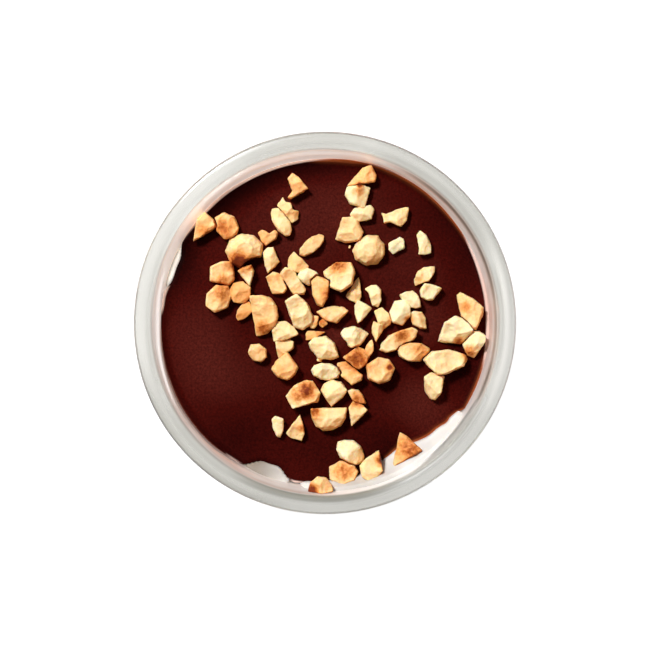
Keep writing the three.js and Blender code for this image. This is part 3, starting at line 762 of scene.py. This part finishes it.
def colour_nut(obj, seed, own):
    """Writes how roasted each corner is, darker towards its bottom, and its tone: the piece's own, and
    painted shade, warmer on faces turned from the light.
    """
    dice = random.Random(seed)
    away_from_light = Vector((0.5 + 0.5 * dice.random(), -0.5 - 0.5 * dice.random(), -0.5)).normalized()
    for name in ("roast", "tone"):
        obj.data.attributes.new(name, "FLOAT", "POINT")
    roast, tone = obj.data.attributes["roast"], obj.data.attributes["tone"]
    low = min(corner.co.z for corner in obj.data.vertices) / MM
    for i, corner in enumerate(obj.data.vertices):
        x, y, z = (value / MM for value in corner.co)
        total = 0.0
        for rx, ry, half, strength in ROASTS:
            away = ((x / ROAST_SPREAD - rx) ** 2 + (y / ROAST_SPREAD - ry) ** 2) / half ** 2
            if away < 6:
                total = max(total, strength * math.exp(-away * 0.9))
        # each piece is darker towards its bottom
        foot = 0.12 * smoothstep(1.5, 0.2, z - low)
        roast.data[i].value = min(1.0, total + foot)
        # painted shade: faces turned from the light get a warmer, darker tone
        tone.data[i].value = 0.4 * own + 0.6 * smoothstep(-0.55, 0.75, corner.normal.dot(away_from_light))


def make_nut(node, seed, own):
    """A finer copy of one CAD piece, let down on to the ganache."""
    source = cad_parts[node]
    nut = source.copy()
    nut.data = source.data.copy()
    nut.parent = None
    for key in [key for key in nut.keys() if key.startswith("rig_")]:
        del nut[key]
    nut.name = nut.data.name = node.replace("hazelnut_", "chopped_nut_")
    bpy.context.scene.collection.objects.link(nut)
    use(nut)
    mode("EDIT")
    bpy.ops.mesh.select_all(action="SELECT")
    bpy.ops.mesh.remove_doubles(threshold=0.01 * MM)
    bpy.ops.mesh.dissolve_limited(angle_limit=math.radians(3))
    bpy.ops.mesh.select_all(action="SELECT")
    bpy.ops.transform.translate(value=(0, 0, -LOWER * MM))
    mode("OBJECT")
    finish_nut(nut)
    colour_nut(nut, seed, own)
    return nut


def make_chip(row, seed):
    """Chops one smaller piece: its outline is drawn flat, then drawn up ring by ring."""
    kind, x, y, length, width, turn, height, raised, own = row
    dice = random.Random(seed)
    c, s = math.cos(math.radians(turn)), math.sin(math.radians(turn))
    base = support_height(x, y) + raised - 0.1
    corners = []
    for u, v in OUTLINES[kind]:
        reach = CHOPPED[0][1] * (1 + UNEVEN * (2 * dice.random() - 1))
        along, across = u * length * reach, v * width * reach
        corners.append(Vector((x + along * c - across * s, y + along * s + across * c, base)) * MM)
    deselect()
    bpy.ops.mesh.primitive_plane_add(size=MM)
    chip = bpy.context.object
    mode("EDIT")
    bpy.ops.mesh.merge(type="CENTER")
    bpy.ops.transform.translate(value=corners[0])
    for a, b in zip(corners, corners[1:]):
        bpy.ops.mesh.extrude_region_move(TRANSFORM_OT_translate={"value": b - a})
    bpy.ops.mesh.select_all(action="SELECT")
    bpy.ops.mesh.edge_face_add()
    tilts = [math.radians(dice.choice((-1, 1)) * dice.uniform(*TOP_TILT)) for _ in "XY"]
    for (rise0, share0), (rise, share) in zip(CHOPPED, CHOPPED[1:]):
        step = rise - rise0
        bpy.ops.mesh.extrude_region_move(TRANSFORM_OT_translate={"value": (0, 0, step * height * MM)})
        middle = (x * MM, y * MM, (base + rise * height) * MM)
        bpy.ops.transform.resize(value=(share / share0, share / share0, 1), center_override=middle)
        for axis, tilt in zip("XY", tilts):
            bpy.ops.transform.rotate(value=tilt * step, orient_axis=axis, center_override=middle)
    bpy.ops.mesh.select_all(action="SELECT")
    bpy.ops.mesh.normals_make_consistent(inside=False)
    if dice.random() < RIDGED:
        way = 2 * math.pi * dice.random()
        slope = Vector((math.cos(way), math.sin(way), 0)) * RIDGE_SLOPE
        crest = Vector((x, y, base + 0.95 * height))
        cut(crest, Vector((0, 0, 1)) + slope)
        cut(crest, Vector((0, 0, 1)) - slope)
    mode("OBJECT")
    finish_nut(chip)
    colour_nut(chip, seed, own)
    return chip


def cut(point, outward):
    """Cuts the piece in edit mode along a plane given in mm and closes it."""
    bpy.ops.mesh.select_all(action="SELECT")
    bpy.ops.mesh.bisect(plane_co=point * MM, plane_no=outward, use_fill=True, clear_outer=True)


def make_chips():
    chips = [make_chip(row, 100 + i) for i, row in enumerate(CHIPS)]
    deselect()
    for chip in chips:
        chip.select_set(True)
    bpy.context.view_layer.objects.active = chips[0]
    bpy.ops.object.join()
    chips[0].name = chips[0].data.name = "hazelnut_chips"
    return chips[0]


# --- materials -----------------------------------------------------------------------------------

# Places of a Mix node's sockets for colours: factor, A and B, and the result
MIX_INPUTS = (0, 6, 7)
MIX_RESULT = 2


def new_material(name):
    material = bpy.data.materials.new(name)
    material.use_nodes = True
    nodes = material.node_tree.nodes
    return material, nodes, material.node_tree.links, nodes["Principled BSDF"]


def wear(obj, material):
    obj.data.materials.clear()
    obj.data.materials.append(material)


def object_noise(nodes, links, scale, detail=2.0, rough=0.5):
    coordinates = nodes.new("ShaderNodeTexCoord")
    texture = nodes.new("ShaderNodeTexNoise")
    texture.inputs["Scale"].default_value = scale
    texture.inputs["Detail"].default_value = detail
    texture.inputs["Roughness"].default_value = rough
    links.new(coordinates.outputs["Object"], texture.inputs["Vector"])
    return texture


def attribute(nodes, name):
    node = nodes.new("ShaderNodeAttribute")
    node.attribute_name = name
    return node


def math_node(nodes, links, operation, *values):
    """A Math node: each value is a number or the output that feeds it."""
    node = nodes.new("ShaderNodeMath")
    node.operation = operation
    for socket, value in zip(node.inputs, values):
        if hasattr(value, "is_output"):
            links.new(value, socket)
        else:
            socket.default_value = value
    return node.outputs["Value"]


def ramp(nodes, links, source, stops):
    node = nodes.new("ShaderNodeValToRGB")
    elements = node.color_ramp.elements
    while len(elements) < len(stops):
        elements.new(0.5)
    for element, (place, colour) in zip(elements, stops):
        element.position = place
        element.color = (*colour, 1)
    links.new(source, node.inputs["Fac"])
    return node


def mix(nodes, links, kind, factor, a, b):
    node = nodes.new("ShaderNodeMix")
    node.data_type = "RGBA"
    node.blend_type = kind
    factor_socket, a_socket, b_socket = (node.inputs[index] for index in MIX_INPUTS)
    if hasattr(factor, "is_output"):
        links.new(factor, factor_socket)
    else:
        factor_socket.default_value = factor
    for socket, value in ((a_socket, a), (b_socket, b)):
        if hasattr(value, "is_output"):
            links.new(value, socket)
        else:
            socket.default_value = (*value, 1)
    return node.outputs[MIX_RESULT]


def add_bump(nodes, links, principled, height, strength, distance):
    bump = nodes.new("ShaderNodeBump")
    bump.inputs["Strength"].default_value = strength
    bump.inputs["Distance"].default_value = distance
    links.new(height, bump.inputs["Height"])
    links.new(bump.outputs["Normal"], principled.inputs["Normal"])


def glass_material():
    material, nodes, links, principled = new_material("pressed glass")
    smear = attribute(nodes, "smear")
    stain = attribute(nodes, "stain")
    streaks = object_noise(nodes, links, 300, 3.0)
    film = ramp(nodes, links, stain.outputs["Fac"], [
        (0.0, (0.98, 0.95, 0.93)), (0.3, (0.87, 0.69, 0.62)), (0.6, (0.65, 0.37, 0.27)),
        (1.0, (0.18, 0.04, 0.02)),
    ])
    # painted shade: the shade attribute darkens the glass's colour
    shade = attribute(nodes, "shade")
    shade_grey = ramp(nodes, links, shade.outputs["Fac"], [(0.0, (1.0, 1.0, 1.0)), (1.0, (0.25, 0.245, 0.21))])
    clean = mix(nodes, links, "MIX", smear.outputs["Fac"], (0.95, 0.955, 0.945), film.outputs["Color"])
    tint = mix(nodes, links, "MULTIPLY", 1.0, clean, shade_grey.outputs["Color"])
    links.new(tint, principled.inputs["Base Color"])
    smooth_part = math_node(nodes, links, "MULTIPLY_ADD", shade.outputs["Fac"], 0.5, 0.1)
    matt = ramp(nodes, links, stain.outputs["Fac"], [(0.45, (0.45, 0.45, 0.45)), (0.95, (0.08, 0.08, 0.08))])
    rough = math_node(nodes, links, "MULTIPLY_ADD", smear.outputs["Fac"], matt.outputs["Color"], smooth_part)
    links.new(rough, principled.inputs["Roughness"])
    # painted light: the glass glows where the jar should look lit from behind
    painted_glow = attribute(nodes, "painted_glow")
    film_tint = mix(nodes, links, "MULTIPLY", 1.0, film.outputs["Color"], shade_grey.outputs["Color"])
    shine = mix(nodes, links, "MIX", painted_glow.outputs["Fac"], (0.0, 0.0, 0.0), film_tint)
    links.new(shine, principled.inputs["Emission Color"])
    principled.inputs["Emission Strength"].default_value = 0.75
    clear = math_node(nodes, links, "SUBTRACT", 1.0, smear.outputs["Fac"])
    links.new(clear, principled.inputs["Transmission Weight"])
    principled.inputs["IOR"].default_value = 1.5
    add_bump(nodes, links, principled, streaks.outputs["Fac"], 0.03, 0.0005)
    body = nodes.new("ShaderNodeVolumeAbsorption")
    body.inputs["Color"].default_value = (0.62, 0.60, 0.55, 1)
    body.inputs["Density"].default_value = 130
    output = nodes["Material Output"]
    links.new(body.outputs["Volume"], output.inputs["Volume"])
    path = nodes.new("ShaderNodeLightPath")
    let_through = nodes.new("ShaderNodeBsdfTransparent")
    let_through.inputs["Color"].default_value = (0.9, 0.9, 0.88, 1)
    either = nodes.new("ShaderNodeMixShader")
    links.new(path.outputs["Is Shadow Ray"], either.inputs["Fac"])
    links.new(principled.outputs["BSDF"], either.inputs[1])
    links.new(let_through.outputs["BSDF"], either.inputs[2])
    links.new(either.outputs["Shader"], output.inputs["Surface"])
    return material


def cream_material():
    material, nodes, links, principled = new_material("frozen cream")
    patches = object_noise(nodes, links, 180, 3.0)
    tint = ramp(nodes, links, patches.outputs["Fac"], [
        (0.3, (0.63, 0.595, 0.56)), (0.7, (0.73, 0.71, 0.675)),
    ])
    # painted light and shade: the cream behind the glass is coloured brighter than its top, which is kept
    # darker under the strong light
    behind_glass = attribute(nodes, "behind_glass")
    side = mix(nodes, links, "MIX", behind_glass.outputs["Fac"], tint.outputs["Color"], (0.95, 0.92, 0.86))
    # painted shade: the dim attribute darkens the cream
    dim = attribute(nodes, "dim")
    shaded_cream = mix(nodes, links, "MIX", dim.outputs["Fac"], side, (0.22, 0.175, 0.13))
    links.new(shaded_cream, principled.inputs["Base Color"])
    principled.inputs["Roughness"].default_value = 0.55
    principled.inputs["Subsurface Weight"].default_value = 0.3
    # painted light: the crescent of bare cream glows
    lit = attribute(nodes, "lit")
    glow = mix(nodes, links, "MIX", lit.outputs["Fac"], (0.0, 0.0, 0.0), (0.34, 0.32, 0.3))
    links.new(glow, principled.inputs["Emission Color"])
    principled.inputs["Emission Strength"].default_value = 1.0
    principled.inputs["Subsurface Radius"].default_value = (0.004, 0.003, 0.002)
    principled.inputs["Subsurface Scale"].default_value = 0.5
    grain = object_noise(nodes, links, 900, 3.0)
    add_bump(nodes, links, principled, grain.outputs["Fac"], 0.25, 0.0004)
    return material


def ganache_material():
    material, nodes, links, principled = new_material("dark ganache")
    broad = object_noise(nodes, links, 70, 3.0)
    fine = object_noise(nodes, links, 1900, 3.0, 0.7)
    # tone carries the painted shade and painted sheen set in mark_ganache
    tone = attribute(nodes, "tone")
    patch = math_node(nodes, links, "MULTIPLY_ADD", broad.outputs["Fac"], 0.3, -0.15)
    level = math_node(nodes, links, "ADD", tone.outputs["Fac"], patch)
    base = ramp(nodes, links, level, [
        (0.0, (0.008, 0.0004, 0.0004)), (0.5, (0.042, 0.0026, 0.0016)), (1.0, (0.082, 0.012, 0.008)),
    ])
    speck = ramp(nodes, links, fine.outputs["Fac"], [(0.36, (0.72, 0.7, 0.7)), (0.66, (1.4, 1.5, 1.5))])
    dark = mix(nodes, links, "MULTIPLY", 1.0, base.outputs["Color"], speck.outputs["Color"])
    thin = attribute(nodes, "thin")
    warm = ramp(nodes, links, thin.outputs["Fac"], [
        (0.0, (0.0, 0.0, 0.0)), (0.45, (0.12, 0.12, 0.12)), (1.0, (1, 1, 1)),
    ])
    edge = mix(nodes, links, "MIX", warm.outputs["Color"], dark, (0.42, 0.1, 0.03))
    milky = attribute(nodes, "milky")
    smeared = mix(nodes, links, "MIX", milky.outputs["Fac"], edge, (0.66, 0.47, 0.41))
    links.new(smeared, principled.inputs["Base Color"])
    principled.inputs["Roughness"].default_value = 0.32
    principled.inputs["Specular IOR Level"].default_value = 0.03
    add_bump(nodes, links, principled, fine.outputs["Fac"], 0.12, 0.0003)
    return material


def hazelnut_material():
    material, nodes, links, principled = new_material("roasted hazelnut")
    roast = attribute(nodes, "roast")
    # tone carries painted shade: warmer on faces turned from the light
    tone = attribute(nodes, "tone")
    patches = object_noise(nodes, links, 420, 3.0, 0.6)
    specks = object_noise(nodes, links, 1100, 3.0, 0.6)
    ragged = math_node(nodes, links, "MULTIPLY_ADD", specks.outputs["Fac"], 1.6, 0.2)
    broken = math_node(nodes, links, "MULTIPLY", roast.outputs["Fac"], ragged)
    mottled = math_node(nodes, links, "MULTIPLY_ADD", specks.outputs["Fac"], 0.14, broken)
    patchy = math_node(nodes, links, "MULTIPLY_ADD", patches.outputs["Fac"], 0.26, mottled)
    level = math_node(nodes, links, "MULTIPLY_ADD", tone.outputs["Fac"], 0.42, patchy)
    colour = ramp(nodes, links, level, [
        (0.16, (0.97, 0.80, 0.48)),
        (0.34, (0.94, 0.61, 0.28)),
        (0.5, (0.88, 0.39, 0.12)),
        (0.74, (0.50, 0.13, 0.02)),
        (1.0, (0.20, 0.03, 0.006)),
    ])
    links.new(colour.outputs["Color"], principled.inputs["Base Color"])
    principled.inputs["Roughness"].default_value = 0.6
    principled.inputs["Specular IOR Level"].default_value = 0.15
    principled.inputs["Subsurface Weight"].default_value = 0.4
    principled.inputs["Subsurface Radius"].default_value = (0.003, 0.0012, 0.0004)
    principled.inputs["Subsurface Scale"].default_value = 0.3
    crumbs = object_noise(nodes, links, 1400, 3.0)
    add_bump(nodes, links, principled, crumbs.outputs["Fac"], 0.5, 0.0003)
    return material


def floor_material():
    """A white lit table: it glows a little, so that shadows on it stay pale."""
    material, nodes, links, principled = new_material("lit table")
    grain = object_noise(nodes, links, 6, 2.0)
    tint = ramp(nodes, links, grain.outputs["Fac"], [
        (0.3, (0.295, 0.295, 0.293)), (0.7, (0.31, 0.31, 0.308)),
    ])
    links.new(tint.outputs["Color"], principled.inputs["Base Color"])
    principled.inputs["Roughness"].default_value = 0.9
    principled.inputs["Emission Color"].default_value = (1, 1, 1, 1)
    principled.inputs["Emission Strength"].default_value = 0.95
    return material


# --- studio --------------------------------------------------------------------------------------

def make_floor():
    deselect()
    bpy.ops.mesh.primitive_plane_add(size=6, location=(0, 0, 0))
    floor = bpy.context.object
    floor.name = "studio_floor"
    wear(floor, floor_material())


def make_key_light():
    place = Vector((-0.40, 0.49, 0.96))
    aim = Vector((0, 0, 0.05))
    data = bpy.data.lights.new("key", "AREA")
    data.shape = "SQUARE"
    data.size = 0.16
    data.energy = 15.2
    lamp = bpy.data.objects.new("key", data)
    bpy.context.scene.collection.objects.link(lamp)
    lamp.location = place
    lamp.rotation_euler = (aim - place).to_track_quat("-Z", "Y").to_euler()


def make_surroundings():
    """Pale light from all round and below, and little from above."""
    world = bpy.data.worlds.new("studio")
    bpy.context.scene.world = world
    world.use_nodes = True
    nodes = world.node_tree.nodes
    links = world.node_tree.links
    background = nodes["Background"]
    direction = nodes.new("ShaderNodeTexCoord")
    parts = nodes.new("ShaderNodeSeparateXYZ")
    links.new(direction.outputs["Generated"], parts.inputs["Vector"])
    height = math_node(nodes, links, "MULTIPLY_ADD", parts.outputs["Z"], 0.5, 0.5)
    sky = ramp(nodes, links, height, [
        (0.0, (0.6, 0.6, 0.6)), (0.5, (0.85, 0.85, 0.85)), (0.58, (0.8, 0.8, 0.8)), (0.71, (0.2, 0.2, 0.2)),
        (1.0, (0.07, 0.07, 0.07)),
    ])
    links.new(sky.outputs["Color"], background.inputs["Color"])
    background.inputs["Strength"].default_value = 1.0


def make_camera():
    """Looks straight down from 0.7 m above the lip; the view is 142.3 mm wide there."""
    data = bpy.data.cameras.new("camera")
    camera = bpy.data.objects.new("camera", data)
    bpy.context.scene.collection.objects.link(camera)
    above = 0.7
    view_width = 0.1423
    forward = 0.46 * MM
    data.sensor_width = 36
    data.lens = data.sensor_width * above / view_width
    camera.location = (0, -forward, JAR_HEIGHT * MM + above)
    bpy.context.scene.camera = camera


make_camera()
make_floor()
make_key_light()
make_surroundings()
bpy.context.scene.view_settings.view_transform = "Standard"

jar = make_jar()
wear(jar, glass_material())
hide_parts("jar")
cream = make_cream()
wear(cream, cream_material())
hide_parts("semifreddo")
ganache = make_ganache()
wear(ganache, ganache_material())
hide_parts("ganache")
hazelnut = hazelnut_material()
nut_nodes = sorted(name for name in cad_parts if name.startswith("hazelnut_"))
nuts = []
for seed, (node, own) in enumerate(zip(nut_nodes, NUT_TONES)):
    nut = make_nut(node, seed, own)
    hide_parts(node)
    nuts.append(nut)
chips = make_chips()
for nut in nuts + [chips]:
    wear(nut, hazelnut)
for piece in [jar, cream, ganache, chips] + nuts:
    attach(piece, "root")

deselect()
